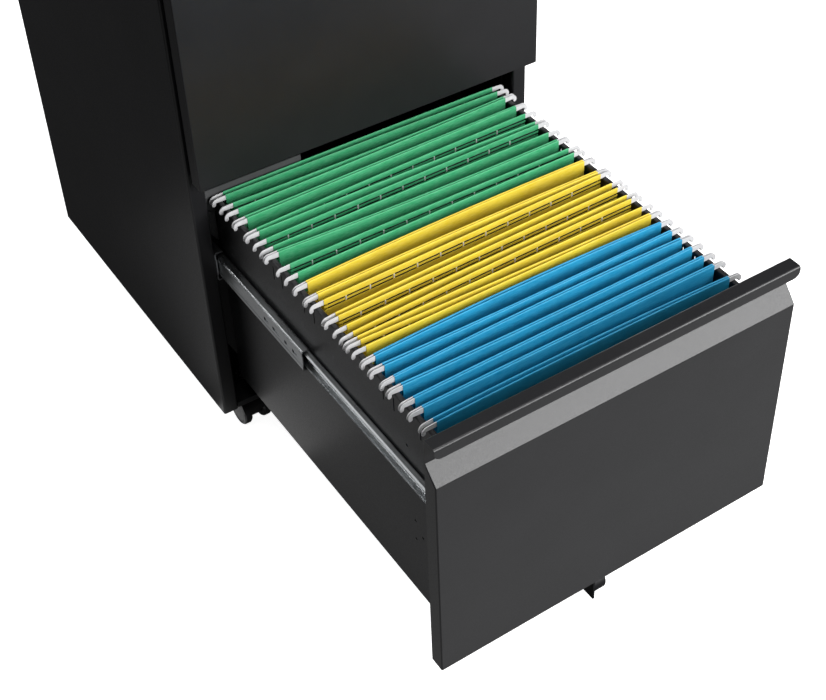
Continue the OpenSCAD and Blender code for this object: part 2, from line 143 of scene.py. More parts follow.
def rolledZinc(name, dark, light, roughness):
    # Zinc-plated steel strip, cold rolled: the rolls leave fine bright streaks along the strip, which
    # is Y, and the plating clouds it, so long highlights break up slightly.
    material, tree, place = startMaterial(name)
    alongStreak = addNode(tree, "ShaderNodeMapping", drawnOut(1, 90, 1), {"Vector": place})
    alongStain = addNode(tree, "ShaderNodeMapping", drawnOut(1, 3, 1), {"Vector": place})
    streak = addNode(tree, "ShaderNodeTexNoise", grains(1.1), {"Vector": alongStreak})
    stain = addNode(tree, "ShaderNodeTexNoise", grains(14, 3), {"Vector": alongStain})
    streakShare = addNode(tree, "ShaderNodeMapRange", spread(0, 0.35), {"Value": streak})
    stainShare = addNode(tree, "ShaderNodeMapRange", spread(0, 1), {"Value": stain})
    stained = addNode(tree, "ShaderNodeMix",
                      {"data_type": "RGBA", mixFirst: hexColour(dark), mixSecond: hexColour(light)},
                      {mixShare: stainShare}, mixResult)
    streaked = addNode(tree, "ShaderNodeMix", {"data_type": "RGBA", mixSecond: hexColour("d4d6d8")},
                       {mixShare: streakShare, mixFirst: stained}, mixResult)
    dullness = addNode(tree, "ShaderNodeMapRange", spread(roughness - 0.07, roughness + 0.08),
                       {"Value": stain})
    return finishMaterial(material, {"Metallic": 1}, {"Base Color": streaked, "Roughness": dullness})


def brightZinc(name, colour):
    # Bright zinc-plated steel, turned or cold headed: small pits and stains make its sheen uneven.
    material, tree, place = startMaterial(name)
    stain = addNode(tree, "ShaderNodeTexNoise", grains(3.5, 3), {"Vector": place})
    pits = addNode(tree, "ShaderNodeTexNoise", grains(0.5), {"Vector": place})
    stainShare = addNode(tree, "ShaderNodeMapRange", spread(0, 0.4), {"Value": stain})
    stained = addNode(tree, "ShaderNodeMix",
                      {"data_type": "RGBA", mixFirst: hexColour(colour), mixSecond: hexColour("8d8f90")},
                      {mixShare: stainShare}, mixResult)
    dullness = addNode(tree, "ShaderNodeMapRange", spread(0.22, 0.38), {"Value": stain})
    relief = addNode(tree, "ShaderNodeBump", {"Strength": 1, "Distance": 0.008 * mm}, {"Height": pits})
    return finishMaterial(material, {"Metallic": 1},
                          {"Base Color": stained, "Roughness": dullness, "Normal": relief})


def mouldedNylon(name, dark, light, roughness):
    # Nylon, injection moulded in a spark-eroded mould: an even fine grain, with greyer, duller
    # patches where it rubs.
    material, tree, place = startMaterial(name)
    erosion = addNode(tree, "ShaderNodeTexNoise", grains(0.6), {"Vector": place})
    scuff = addNode(tree, "ShaderNodeTexNoise", grains(9, 4), {"Vector": place})
    scuffShare = addNode(tree, "ShaderNodeMapRange", spread(0, 1, 0.45, 0.75), {"Value": scuff})
    scuffed = addNode(tree, "ShaderNodeMix",
                      {"data_type": "RGBA", mixFirst: hexColour(dark), mixSecond: hexColour(light)},
                      {mixShare: scuffShare}, mixResult)
    dullness = addNode(tree, "ShaderNodeMapRange", spread(roughness, roughness + 0.14), {"Value": scuff})
    relief = addNode(tree, "ShaderNodeBump", {"Strength": 1, "Distance": 0.02 * mm}, {"Height": erosion})
    return finishMaterial(material, {"Metallic": 0, "IOR": 1.53},
                          {"Base Color": scuffed, "Roughness": dullness, "Normal": relief})


def dippedLacquer(name, colour, shade):
    # Pale grey lacquer on punched steel strip, dipped and stoved: smooth and bright, a little worn.
    material, tree, place = startMaterial(name)
    wear = addNode(tree, "ShaderNodeTexNoise", grains(5, 3), {"Vector": place})
    ripple = addNode(tree, "ShaderNodeTexNoise", grains(0.8), {"Vector": place})
    wearShare = addNode(tree, "ShaderNodeMapRange", spread(0, 1), {"Value": wear})
    worn = addNode(tree, "ShaderNodeMix",
                   {"data_type": "RGBA", mixFirst: hexColour(colour), mixSecond: hexColour(shade)},
                   {mixShare: wearShare}, mixResult)
    dullness = addNode(tree, "ShaderNodeMapRange", spread(0.28, 0.42), {"Value": wear})
    relief = addNode(tree, "ShaderNodeBump", {"Strength": 1, "Distance": 0.006 * mm}, {"Height": ripple})
    return finishMaterial(material, {"Metallic": 0, "IOR": 1.5},
                          {"Base Color": worn, "Roughness": dullness, "Normal": relief})


def fileCard(name, colour, shade, light):
    # Manila card, dyed in the pulp and calendered: long pale fibres in a softly clouded sheet, with a
    # low sheen that lifts the folded edges.
    material, tree, place = startMaterial(name)
    alongFibre = addNode(tree, "ShaderNodeMapping", drawnOut(9, 1, 1), {"Vector": place})
    fibre = addNode(tree, "ShaderNodeTexNoise", grains(0.8, 3), {"Vector": alongFibre})
    cloud = addNode(tree, "ShaderNodeTexNoise", grains(35, 3), {"Vector": place})
    cloudShare = addNode(tree, "ShaderNodeMapRange", spread(0, 1), {"Value": cloud})
    fibreShare = addNode(tree, "ShaderNodeMapRange", spread(0, 0.35), {"Value": fibre})
    clouded = addNode(tree, "ShaderNodeMix",
                      {"data_type": "RGBA", mixFirst: hexColour(shade), mixSecond: hexColour(colour)},
                      {mixShare: cloudShare}, mixResult)
    fibrous = addNode(tree, "ShaderNodeMix", {"data_type": "RGBA", mixSecond: hexColour(light)},
                      {mixShare: fibreShare, mixFirst: clouded}, mixResult)
    dullness = addNode(tree, "ShaderNodeMapRange", spread(0.42, 0.58), {"Value": fibre})
    relief = addNode(tree, "ShaderNodeBump", {"Strength": 1, "Distance": 0.02 * mm}, {"Height": fibre})
    return finishMaterial(material, {"Metallic": 0, "IOR": 1.47},
                          {"Base Color": fibrous, "Roughness": dullness, "Normal": relief})


blackPaint = powderCoat("satin_black_powder_coat", "161618", "1b1b1d", 0.36)
innerPaint = powderCoat("inner_black_powder_coat", "151517", "1a1a1c", 0.42)
greyPaint = powderCoat("grey_primer_on_bracket", "454647", "515253", 0.45)
slideSteel = rolledZinc("rolled_zinc_slide_steel", "a4a7a9", "bfc2c4", 0.3)
cageSteel = rolledZinc("rolled_zinc_cage_steel", "7f8385", "9c9fa1", 0.3)
brightSteel = brightZinc("turned_bright_zinc_steel", "b4b6b8")
blackNylon = mouldedNylon("moulded_black_nylon", "141416", "1d1d1f", 0.42)
treadNylon = mouldedNylon("moulded_wheel_nylon", "19191b", "26262a", 0.38)
hookLacquer = dippedLacquer("light_grey_bar_lacquer", "dcdcdd", "cfcfd1")
cardColours = {
    "green": fileCard("dyed_green_file_card", "2a9e66", "20935b", "80c9a2"),
    "yellow": fileCard("dyed_yellow_file_card", "dfc51e", "d4b612", "eedf80"),
    "blue": fileCard("dyed_blue_file_card", "0892c2", "0586b4", "5abbdc"),
}
print("materials made:", len(bpy.data.materials))


def filleted(points, radius, steps=8):
    # A 2D path whose inner corners are arcs of one radius, or of one radius each. An arc's points are
    # its two ends, mixed in the shares of the sines of the angles that are left and done.
    points = np.array(points, float)
    radii = np.broadcast_to(radius, len(points) - 2)
    path = [points[:1]]
    for before, corner, after, r in zip(points[:-2], points[1:-1], points[2:], radii):
        u = (before - corner) / np.linalg.norm(before - corner)
        v = (after - corner) / np.linalg.norm(after - corner)
        half = math.acos(np.clip(u @ v, -1, 1)) / 2
        middle = corner + (u + v) / np.linalg.norm(u + v) * r / math.sin(half)
        first = corner + u * r / math.tan(half) - middle
        last = corner + v * r / math.tan(half) - middle
        turn = math.pi - 2 * half
        t = np.linspace(0, 1, steps + 1)[:, None]
        path.append(middle + (first * np.sin(turn * (1 - t)) + last * np.sin(turn * t)) / math.sin(turn))
    return np.vstack(path + [points[-1:]])


def beside(path, distance):
    # The path moved to its right by a distance, mitred at each point.
    step = np.diff(path, axis=0)
    step /= np.linalg.norm(step, axis=1)[:, None]
    right = np.stack([step[:, 1], -step[:, 0]], 1)
    before = np.vstack([right[:1], right])
    after = np.vstack([right, right[-1:]])
    middle = (before + after) / np.linalg.norm(before + after, axis=1)[:, None]
    return path + middle * distance / np.sum(middle * before, axis=1)[:, None]


def quads(rows, columns, closed=False):
    # Corner numbers of the faces of a grid, as a rows by columns by 4 array. A closed grid joins up
    # both ways.
    index = np.arange(rows * columns).reshape(rows, columns)
    if closed:
        index = np.pad(index, ((0, 1), (0, 1)), "wrap")
    return np.stack([index[:-1, :-1], index[1:, :-1], index[1:, 1:], index[:-1, 1:]], -1)


def shell(outer, inner, keep=None):
    # A sheet with two sides: both grids' kept faces, and a rim wherever a kept face has no neighbour.
    rows, columns = outer.shape[:2]
    keep = np.ones((rows - 1, columns - 1), bool) if keep is None else keep
    count = rows * columns
    index = np.arange(count).reshape(rows, columns)
    face = quads(rows, columns)[keep]
    across = np.pad(keep, ((0, 0), (1, 1)))
    along = np.pad(keep, ((1, 1), (0, 0)))
    rowEdges = np.stack([index[:-1], index[1:]], -1)[across[:, :-1] != across[:, 1:]]
    columnEdges = np.stack([index[:, :-1], index[:, 1:]], -1)[along[:-1] != along[1:]]
    edges = np.vstack([rowEdges, columnEdges])
    rim = np.column_stack([edges, edges[:, ::-1] + count])
    points = np.vstack([outer.reshape(-1, 3), inner.reshape(-1, 3)])
    return points, np.vstack([face, face[:, ::-1] + count, rim])


def sheetAlong(path, thickness, axis, stations, holes=()):
    # A bent sheet: its 2D path, and the path beside it, carried along an axis through the stations.
    # Each hole is (low station, high station, first path point, last path point).
    stations = np.array(sorted(stations), float)
    other = [i for i in range(3) if i != axis]
    grids = []
    for line in (path, beside(path, thickness)):
        grid = np.zeros((len(stations), len(line), 3))
        grid[:, :, axis] = stations[:, None]
        grid[:, :, other] = line[None]
        grids.append(grid)
    keep = np.ones((len(stations) - 1, len(path) - 1), bool)
    middle = (stations[:-1] + stations[1:]) / 2
    for low, high, first, last in holes:
        keep[np.ix_((middle > low) & (middle < high), np.arange(first, last))] = False
    return shell(*grids, keep)


def turnedRing(profile, centre, steps=96):
    # A closed profile of (radius, distance along X) turned once round X: Y is the radius times the
    # cosine of the angle, and Z the radius times its sine.
    angle = np.linspace(0, 2 * math.pi, steps, endpoint=False)[:, None]
    radius, along = profile.T
    grid = np.stack([np.broadcast_to(along, (steps, len(profile))), radius * np.cos(angle),
                     radius * np.sin(angle)], -1)
    return (grid + centre).reshape(-1, 3), quads(steps, len(profile), closed=True).reshape(-1, 4)


def moved(part, offset):
    # The part shifted by an offset.
    return part[0] + np.array(offset, float), part[1]


def mirrored(part):
    # The part and its mirror image in the plane x = 0.
    return [part, (part[0] * np.array([-1, 1, 1]), part[1][:, ::-1])]


mergeDistance = 0.002 * mm  # points closer than this become one


def makePiece(name, parts, material, body, replaces=(), sharp=35):
    # Joins parts, given in millimetres, into one object that rides on a body. Corners sharper than
    # so many degrees stay crisp.
    start = np.cumsum([0] + [len(part[0]) for part in parts])
    points = np.vstack([part[0] for part in parts]) * mm
    faces = np.vstack([part[1] + first for part, first in zip(parts, start)])
    mesh = bpy.data.meshes.new(name)
    mesh.from_pydata(points.tolist(), [], faces.tolist())
    work = bmesh.new()
    work.from_mesh(mesh)
    bmesh.ops.remove_doubles(work, verts=work.verts, dist=mergeDistance)
    bmesh.ops.dissolve_degenerate(work, edges=work.edges, dist=mergeDistance)
    bmesh.ops.recalc_face_normals(work, faces=work.faces)
    work.to_mesh(mesh)
    work.free()
    mesh.shade_smooth()
    mesh.set_sharp_from_angle(angle=math.radians(sharp))
    mesh.materials.append(material)
    piece = bpy.data.objects.new(name, mesh)
    bpy.context.scene.collection.objects.link(piece)
    piece.modifiers.new("flat_faces", "WEIGHTED_NORMAL").keep_sharp = True
    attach(piece, body)
    for node in replaces:
        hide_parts(node)
    return piece


def paint(material, *names):
    # Gives CAD nodes a material.
    for name in names:
        nodes[name].data.materials.clear()
        nodes[name].data.materials.append(material)


paint(blackPaint, "bottom_panel", "top_front_rail", "back_panel", "top_panel")
paint(innerPaint, "slide_uprights", "fifth_wheel_bracket", "lower_front_liner", "upper_front_liner")
for drawer in ("lower", "upper"):
    paint(innerPaint, *[drawer + "_box_" + side for side in ("left", "right", "floor", "back")])
    paint(greyPaint, drawer + "_catch_bracket")
    paint(brightSteel, drawer + "_front_screws")
    paint(cageSteel, drawer + "_cage_outer", drawer + "_cage_inner")
paint(brightSteel, "back_panel_screws", "lock_cylinder", "lock_plug", "lock_rod", "lock_bar", "caster_stems",
      "fifth_wheel_axle")
corners = [end + "_" + side for end in ("front", "rear") for side in ("left", "right")]
for corner in corners:
    paint(brightSteel, "caster_axle_" + corner)
    paint(blackNylon, "caster_hood_" + corner)
print("CAD nodes painted")

# Side panels: one sheet each, folded round the front post and the rear edge.
sidePanel = {"sheet": 1.0, "bend": 2.2, "postReturn": 16.0, "rearReturn": 15.0, "stile": 16.5}


def sidePanelPart():
    # A U in plan, from the front post's return round the side to the rear return, carried along Z.
    p = sidePanel
    low, high = nodeBox("side_panel_left")
    stile = low[0] + p["stile"]
    path = filleted([(stile, low[1] + p["postReturn"]), (stile, low[1]), (low[0], low[1]),
                     (low[0], high[1]), (low[0] + p["rearReturn"], high[1])], p["bend"])
    return sheetAlong(path, p["sheet"], axis=2, stations=(low[2], high[2]))


for side, part in zip(("left", "right"), mirrored(sidePanelPart())):
    node = "side_panel_" + side
    makePiece(node + "_folded", [part], blackPaint, "carcass", [node])

# A drawer front: a folded pan with a slope, a finger recess, a lip whose lower corners are round, and
# a hem under the pan. Heights count from the front's lower edge.
drawerFront = {"face": 244.5, "slope": 17.0, "slopeTop": 1.0, "crease": 1.6, "sheet": 1.0,
               "panSheet": 0.6, "fold": 1.4, "foldShare": 0.6, "leastFold": 0.15,
               "lip": 12.0, "lipBend": 2.6, "lipEnd": 7.0, "lipOverlap": 1.0,
               "hemFront": 1.4, "hemRear": 1.2, "hemLift": 0.2, "hemEnd": 2.0}


def panPart(half, depth):
    # At each height a U in plan, as deep as the slope leaves there; the inner side is a smaller U.
    p = drawerFront
    top = p["face"] + p["slope"]
    outline = filleted([(depth, 0), (depth, p["face"]), (p["slopeTop"], top)], p["crease"], steps=6)
    sides = []
    for inset in (0, p["panSheet"]):
        rows = []
        for deep, z in outline:
            bend = max(min(p["fold"], deep * p["foldShare"]) - inset, p["leastFold"])
            row = filleted([(inset - half, 0), (inset - half, inset - deep), (half - inset, inset - deep),
                            (half - inset, 0)], bend, steps=5)
            rows.append(np.column_stack([row, np.full(len(row), z)]))
        sides.append(np.array(rows))
    return shell(*sides)


def lipPart(half, depth, height):
    # The recess wall, the top and the turned-down edge, carried along X. Near its ends the edge gets
    # shorter as a quarter circle does.
    p = drawerFront
    foot = p["face"] + p["slope"] - p["lipOverlap"]
    path = filleted([(0, foot), (0, height), (-depth, height), (-depth, height - p["lip"])], p["lipBend"],
                    steps=10)
    quarter = p["lipEnd"] * (1 - np.cos(np.linspace(0, math.pi / 2, 9)))
    x = np.concatenate([quarter - half, half - quarter[::-1]])
    inEnd = np.clip(p["lipEnd"] - (half - np.abs(x)), 0, None)
    sides = []
    for line in (path, beside(path, -p["sheet"])):
        grid = np.zeros((len(x), len(line), 3))
        grid[:, :, 0] = x[:, None]
        grid[:, :, 1:] = line[None]
        grid[:, -1, 2] += p["lipEnd"] - np.sqrt(p["lipEnd"] ** 2 - inEnd ** 2)
        sides.append(grid)
    return shell(*sides)


def hemPart(half, depth):
    # The pan's lower edge, folded to the back: a flat strip along X.
    p = drawerFront
    path = np.array([(p["hemFront"] - depth, p["hemLift"]), (-p["hemRear"], p["hemLift"])])
    return sheetAlong(path, -p["sheet"], axis=0, stations=(p["hemEnd"] - half, half - p["hemEnd"]))


def frontParts(node):
    # The front's three parts, made with their back in the plane y = 0, at the CAD node's place.
    low, high = nodeBox(node)
    width, depth, height = high - low
    parts = (panPart(width / 2, depth), lipPart(width / 2, depth, height), hemPart(width / 2, depth))
    return [moved(part, (0, high[1], low[2])) for part in parts]


for drawer in ("lower", "upper"):
    node = drawer + "_front_skin"
    makePiece(drawer + "_front_pressed", frontParts(node), blackPaint, drawer + "_drawer", [node])
print("sheet metal made")

# Slide members: rolled channels whose corners are the ball races, open to the drawer (1) or to the
# carcass (-1). A band of the web is pressed out of its plane by step, and reaches as far as band above
# and below the slide's middle. Its holes are (distance from the front end, length).
slideMember = {
    "cabinet": {"sheet": 1.2, "bend": 1.6, "step": 0.5, "band": 9.0, "open": 1,
                "holes": [(40, 9), (160, 9), (330, 9)]},
    "middle": {"sheet": 1.0, "bend": 1.5, "step": 0.4, "band": 5.6, "open": 1,
               "holes": [(11, 9), (30, 5), (44, 14), (66, 9), (200, 14), (300, 14)]},
    "drawer": {"sheet": 1.0, "bend": 1.4, "step": -0.7, "band": 3.4, "open": -1,
               "holes": [(18, 16), (52, 6), (128, 12), (256, 12), (352, 12)]},
    "lipDrop": 0.9, "lipLength": 1.6, "raceAlong": 1.4, "raceDown": 2.0, "bandRise": 1.0, "holeHalf": 2.0,
    "bendShares": (0.5, 0.8, 0.8, 0.4, 0.4), "crispAngle": 28,
}


def slideParts(node, kind):
    # One member on each side: half a section, from its lip over the race to its web's middle, mirrored
    # in the slide's middle plane and carried along Y.
    p, member = slideMember, slideMember[kind]
    low, high = nodeBox(node)
    x = nodePoints(node)[:, 0]
    outer, inner = low[0], x[x < 0].max()
    inward = member["open"]
    web, lip = (outer, inner) if inward > 0 else (inner, outer)
    half = (high[2] - low[2]) / 2
    outline = [(lip, half - p["lipDrop"]), (lip - inward * p["lipLength"], half),
               (web + inward * p["raceAlong"], half), (web, half - p["raceDown"]),
               (web, member["band"] + p["bandRise"]), (web + member["step"], member["band"]),
               (web + member["step"], p["holeHalf"])]
    top = filleted(outline, [member["bend"] * share for share in p["bendShares"]], steps=5)
    path = np.vstack([top, top[::-1] * np.array([1, -1])])
    path[:, 1] += (high[2] + low[2]) / 2
    last = len(top) - 1
    holes = [(low[1] + start, low[1] + start + length, last, last + 1) for start, length in member["holes"]]
    stations = [low[1], high[1]] + [end for hole in holes for end in hole[:2]]
    return mirrored(sheetAlong(path, -member["sheet"] * inward, axis=1, stations=stations, holes=holes))


for drawer in ("lower", "upper"):
    bodies = {"cabinet": "carcass", "middle": drawer + "_slide_middle", "drawer": drawer + "_drawer"}
    for kind, body in bodies.items():
        node = drawer + "_slide_" + kind
        makePiece(node + "_rolled", slideParts(node, kind), slideSteel, body, [node],
                  slideMember["crispAngle"])
print("slides made")

# Hanging files: cards over two flat bars each, rear bar first. Lean is how much further back a bar's
# right end is than its left, and bow how much further back its middle is than its ends.
fileShapes = {
    "green": {"lean": [-1, -5, -1, 7, 3, 5, 8, -5, 4, -1, -8, -8, -3, 3],
              "bow": [1, 1, -3, -1, 0, 0, 2, 1, 1, 1, -3, -3, 1, 1]},
    "yellow": {"lean": [3, 3, 0, 0, 6, 9, 5, 5, 9, 0, -7, 0], "bow": [3, 3, 2, 2, 0, 1, 0, 1, 2, 1, -1, 0]},
    "blue": {"lean": [-1, 0, -2, -1, 2, 1, -2, -1, 1, 1, 0, 0, -4, -1],
             "bow": [4, 3, -2, -1, 3, 3, -2, -2, 1, 1, 0, 0, 3, 2]},
}
hangingBar = {"span": 334.0, "sheet": 0.8, "strap": 5.3, "hookWidth": 4.0, "hookDrop": 9.0, "hookBend": 3.2,
              "taper": 6.0, "taperEnd": 3.0, "leastHalf": 0.2, "strapPoints": 24, "hookPoints": 9}
# Depths count down from the card's top edge.
fileFolder = {"card": 0.4, "hem": 1.7, "tail": 5.0, "hemSide": 0.2, "neck": 1.5,
              "columns": 33, "leastColumn": 0.3, "upperDepths": [13.5, 17, 22, 30],
              "lowerFrom": 40, "lowerTo": 8, "lowerCount": 14, "foldRound": 3,
              "straightDepth": 12, "narrowing": 0.8, "foldHalf": 0.9,
              "bulge": 0.9, "bulgeHigh": 0.7, "bulgeEnds": 0.6, "crispAngle": 60}
# The glint settings place pale quads of painted highlight in front of the bridges.
# The shadeStrip settings place a dark strip of painted shade behind the slits.
fileSlits = {"depths": [(5.8, 7.9), (10.1, 12.2)], "pitch": 26.0, "first": -136.7, "count": 11, "bridge": 2.2,
             "glintHalf": 0.6, "glintSheet": 0.25, "glintShort": 1.5,
             "shadeStripEnd": 4, "shadeStripMargin": 1.2, "shadeStripGap": 0.08, "shadeStripSheet": 0.12}


def barPlaces(colour):
    # Y of each bar, rear first: the middles of the flat bars in the CAD node.
    sides = np.unique(np.round(nodePoints(colour + "_bars_steel")[:, 1], 2))
    return ((sides[::2] + sides[1::2]) / 2)[::-1]


def barLine(x, place, lean, bow):
    # Y of a bar at x: a straight lean plus a parabola that is furthest back in the middle.
    t = x / hangingBar["span"]
    return place + lean * t + bow * (0.5 - 4 * t ** 2)


def barPart(bar, box):
    # A bar: a flat ribbon round a line that runs along the top and turns down at each end. Its half
    # width shrinks evenly from the strap's to the hook's, and at the tip it follows a half circle.
    p = hangingBar
    half, top = box[1][0], box[1][2]
    strap, hook = p["strap"] / 2, p["hookWidth"] / 2
    end, tip = half - hook, top - p["hookDrop"]
    bend = filleted([(0, top - strap), (end, top - strap), (end, tip)], p["hookBend"])[1:-1]
    along = np.linspace(0, bend[0, 0], p["strapPoints"])[:-1]
    down = np.linspace(bend[-1, 1], tip, p["hookPoints"])[1:]
    line = np.vstack([np.column_stack([along, np.full(len(along), top - strap)]), bend,
                      np.column_stack([np.full(len(down), end), down])])
    x, fromTip = line[:, 0], line[:, 1] - tip
    width = hook + (strap - hook) * np.clip((half - p["taperEnd"] - x) / p["taper"], 0, 1)
    roundTip = np.sqrt(np.clip(width ** 2 - (width - fromTip) ** 2, p["leastHalf"] ** 2, None))
    width = np.where(np.isclose(x, end) & (fromTip < width), roundTip, width)
    tangent = np.gradient(line, axis=0)
    tangent /= np.linalg.norm(tangent, axis=1)[:, None]
    normal = np.stack([-tangent[:, 1], tangent[:, 0]], 1)
    right = np.stack([line + normal * width[:, None] * share for share in (1, 0.5, -0.5, -1)], 1)
    left = right[::-1] * np.array([-1, 1])
    ribbon = np.concatenate([left[:-1], right])
    middle = barLine(ribbon[..., 0], *bar)
    sides = [middle - p["sheet"] / 2, middle + p["sheet"] / 2]
    return shell(*[np.stack([ribbon[..., 0], y, ribbon[..., 1]], -1) for y in sides])


def slitBridges():
    # X of each bridge between the slits of a row.
    return fileSlits["first"] + fileSlits["pitch"] * np.arange(fileSlits["count"])


def folderPart(rear, front, box, bulge, slotted):
    # A folder: a card that runs over the rear bar, down to the fold and up over the front bar. It keeps
    # its bar's line down to straightDepth. From there Y goes evenly with the depth to the straight
    # fold, and a swelling is added: bulge times a half sine of the depth, least at the card's ends.
    p, slits = fileFolder, fileSlits
    half, top = box[1][0], box[1][2]
    tall = top - box[0][2]
    outside = p["hem"] / 2
    inside = outside - p["card"]
    arc = np.linspace(0, math.pi, 9)[1:-1]
    bridges = slitBridges()
    x = np.unique(np.concatenate([np.linspace(-half, half, p["columns"]), bridges - slits["bridge"] / 2,
                                  bridges + slits["bridge"] / 2]))
    x = x[np.concatenate([[True], np.diff(x) > p["leastColumn"]])]
    depths = np.unique(np.concatenate([[outside + p["neck"]], p["upperDepths"], np.ravel(slits["depths"]),
                                       np.linspace(p["lowerFrom"], tall - p["lowerTo"], p["lowerCount"]),
                                       [tall - p["foldRound"]]]))
    # Each point is (0 at the rear bar, 1 at the front bar; offset from the bar's line; depth).
    rearSide = [(0, outside, p["tail"]), (0, outside, outside + p["hemSide"])]
    rearSide += [(0, outside * math.cos(a), outside - outside * math.sin(a)) for a in arc]
    rearSide += [(0, -outside, depth) for depth in depths]
    frontSide = [(1, -inside, depth) for depth in depths[::-1]]
    frontSide += [(1, -inside * math.cos(a), outside - inside * math.sin(a)) for a in arc]
    frontSide += [(1, inside, outside + p["hemSide"]), (1, inside, p["tail"])]
    which, offset, depth = np.array(rearSide + [(0.5, 0, tall)] + frontSide).T
    drop = np.clip((depth - p["straightDepth"]) / (tall - p["straightDepth"]), 0, 1)
    bars = barLine(x, *rear)[:, None] * (1 - which) + barLine(x, *front)[:, None] * which
    atBar = bars + offset * (1 - p["narrowing"] * drop)
    atFold = (rear[0] + front[0]) / 2 + p["foldHalf"] * np.sign(0.5 - which)
    ends = 1 - p["bulgeEnds"] * (x[:, None] / half) ** 2
    y = atBar * (1 - drop) + atFold * drop + bulge * np.sin(math.pi * drop ** p["bulgeHigh"]) * ends
    grid = np.stack([np.broadcast_to(x[:, None], y.shape), y, np.broadcast_to(top - depth, y.shape)], -1)
    ahead = np.gradient(grid[:, :, 1:], axis=1)
    ahead /= np.linalg.norm(ahead, axis=2)[..., None]
    under = grid.copy()
    under[..., 1] -= ahead[..., 1] * p["card"]
    under[..., 2] += ahead[..., 0] * p["card"]
    keep = np.ones((len(x) - 1, len(depth) - 1), bool)
    if slotted:
        middle = (x[:-1] + x[1:]) / 2
        fromBridge = (middle - slits["first"] + slits["pitch"] / 2) % slits["pitch"] - slits["pitch"] / 2
        inSlit = np.abs(fromBridge) > slits["bridge"] / 2
        onFace = (which[:-1] == 0) & (offset[:-1] == -outside)
        level = (depth[:-1] + depth[1:]) / 2
        for first, last in slits["depths"]:
            keep[np.ix_(inSlit, onFace & (level > first) & (level < last))] = False
    return shell(grid, under, keep)


def paintedShadeStrip(bar, box):
    # Painted shade: a dark strip that follows the card's face behind the slits, for the shade inside them.
    p, slits = fileFolder, fileSlits
    half, top = box[1][0], box[1][2]
    x = np.linspace(slits["shadeStripEnd"] - half, half - slits["shadeStripEnd"], p["columns"])
    y = barLine(x, *bar) - p["hem"] / 2 + p["card"] + slits["shadeStripGap"]
    high = top - slits["depths"][0][0] + slits["shadeStripMargin"]
    low = top - slits["depths"][-1][1] - slits["shadeStripMargin"]
    face = np.stack([np.column_stack([x, y, np.full(len(x), z)]) for z in (high, low)], 1)
    return shell(face, face + np.array([0, slits["shadeStripSheet"], 0]))


def paintedGlintParts(bar, box):
    # Painted highlight: pale flat quads in front of the bridges, from the upper slit's top to inside the
    # lower slit.
    slits = fileSlits
    high = box[1][2] - slits["depths"][0][0]
    low = box[1][2] - slits["depths"][-1][1] + slits["glintShort"]
    parts = []
    for x in slitBridges():
        y = barLine(x, *bar) - fileFolder["hem"] / 2 - slits["glintSheet"]
        ends = (x - slits["glintHalf"], x + slits["glintHalf"])
        face = np.array([[(end, y, z) for z in (high, low)] for end in ends])
        parts.append(shell(face, face - np.array([0, slits["glintSheet"], 0])))
    return parts


swelling = np.random.default_rng(7)
for colour, shape in fileShapes.items():
    barBox, cardBox = nodeBox(colour + "_bars_steel"), nodeBox(colour + "_folders")
    bars = list(zip(barPlaces(colour), shape["lean"], shape["bow"]))
    straps = [barPart(bar, barBox) for bar in bars]
    makePiece(colour + "_bars_hooked", straps, hookLacquer, colour + "_files", [colour + "_bars_steel"])
    slotted = colour != "blue"
    cards, glints, shadeStrips = [], [], []
    for rear, front in zip(bars[::2], bars[1::2]):
        swell = swelling.uniform(-fileFolder["bulge"], fileFolder["bulge"])
        cards.append(folderPart(rear, front, cardBox, swell, slotted))
        if slotted:
            glints += paintedGlintParts(rear, cardBox)
            shadeStrips.append(paintedShadeStrip(rear, cardBox))
    makePiece(colour + "_folders_folded", cards, cardColours[colour], colour + "_files",
              [colour + "_folders"], fileFolder["crispAngle"])
    if slotted:
        # Painted highlight: pale quads stand in for the light that the bridges between the slits catch.
        makePiece(colour + "_bridge_highlights", glints, hookLacquer, colour + "_files", ())
        # Painted shade: dark strips behind the slits stand in for the shade seen through them.
        makePiece(colour + "_slot_painted_shade", shadeStrips, blackNylon, colour + "_files", ())
print("hanging files made")

# Wheels: a domed cap, a groove inside the rim, a rounded tread and a bore that the cap closes.
# Distances along the axle count from the middle of the twin wheels, and shares are of the radius.
casterWheel = {"radius": 19.0, "outside": 17.0, "inside": 6.85, "bore": 3.4, "capSheet": 0.35, "dome": 0.5,
               "capShare": 0.72, "grooveShares": (0.76, 0.79, 0.82), "grooveDepth": 1.5, "rimDepth": 0.4,
               "rimEdge": 1.2, "shoulder": 2.2, "heelAlong": 2.0, "heelDown": 1.6,
               "bends": (0.2, 0.2, 0.8, 1.2, 1.2, 0.8)}
supportWheel = {"bore": 3.4, "hubShares": (0.45, 0.5), "recess": 1.2, "rimShares": (0.72, 0.78),
                "bends": (0.3, 0.4, 0.4, 0.3, 1.5)}


def casterWheelProfile():
    # Half a twin wheel as (radius, distance along the axle): a cap that falls with the square of the
    # radius, then the groove, the rim, the tread, the inner side and the bore.
    p = casterWheel
    r, w = p["radius"], p["outside"]
    grooveIn, groove, grooveOut = [r * share for share in p["grooveShares"]]
    t = np.linspace(0, 1, 7)
    cap = np.column_stack([r * p["capShare"] * t, w - p["dome"] * t ** 2])
    rim = filleted([(grooveIn, w - p["dome"]), (groove, w - p["grooveDepth"]), (grooveOut, w - p["rimDepth"]),
                    (r - p["rimEdge"], w - p["rimDepth"]), (r, w - p["shoulder"]),
                    (r, p["inside"] + p["heelAlong"]), (r - p["heelDown"], p["inside"]),
                    (p["bore"], p["inside"])], p["bends"], steps=4)
    return np.vstack([cap, rim, [(p["bore"], w - p["capSheet"]), (0, w - p["capSheet"])]])


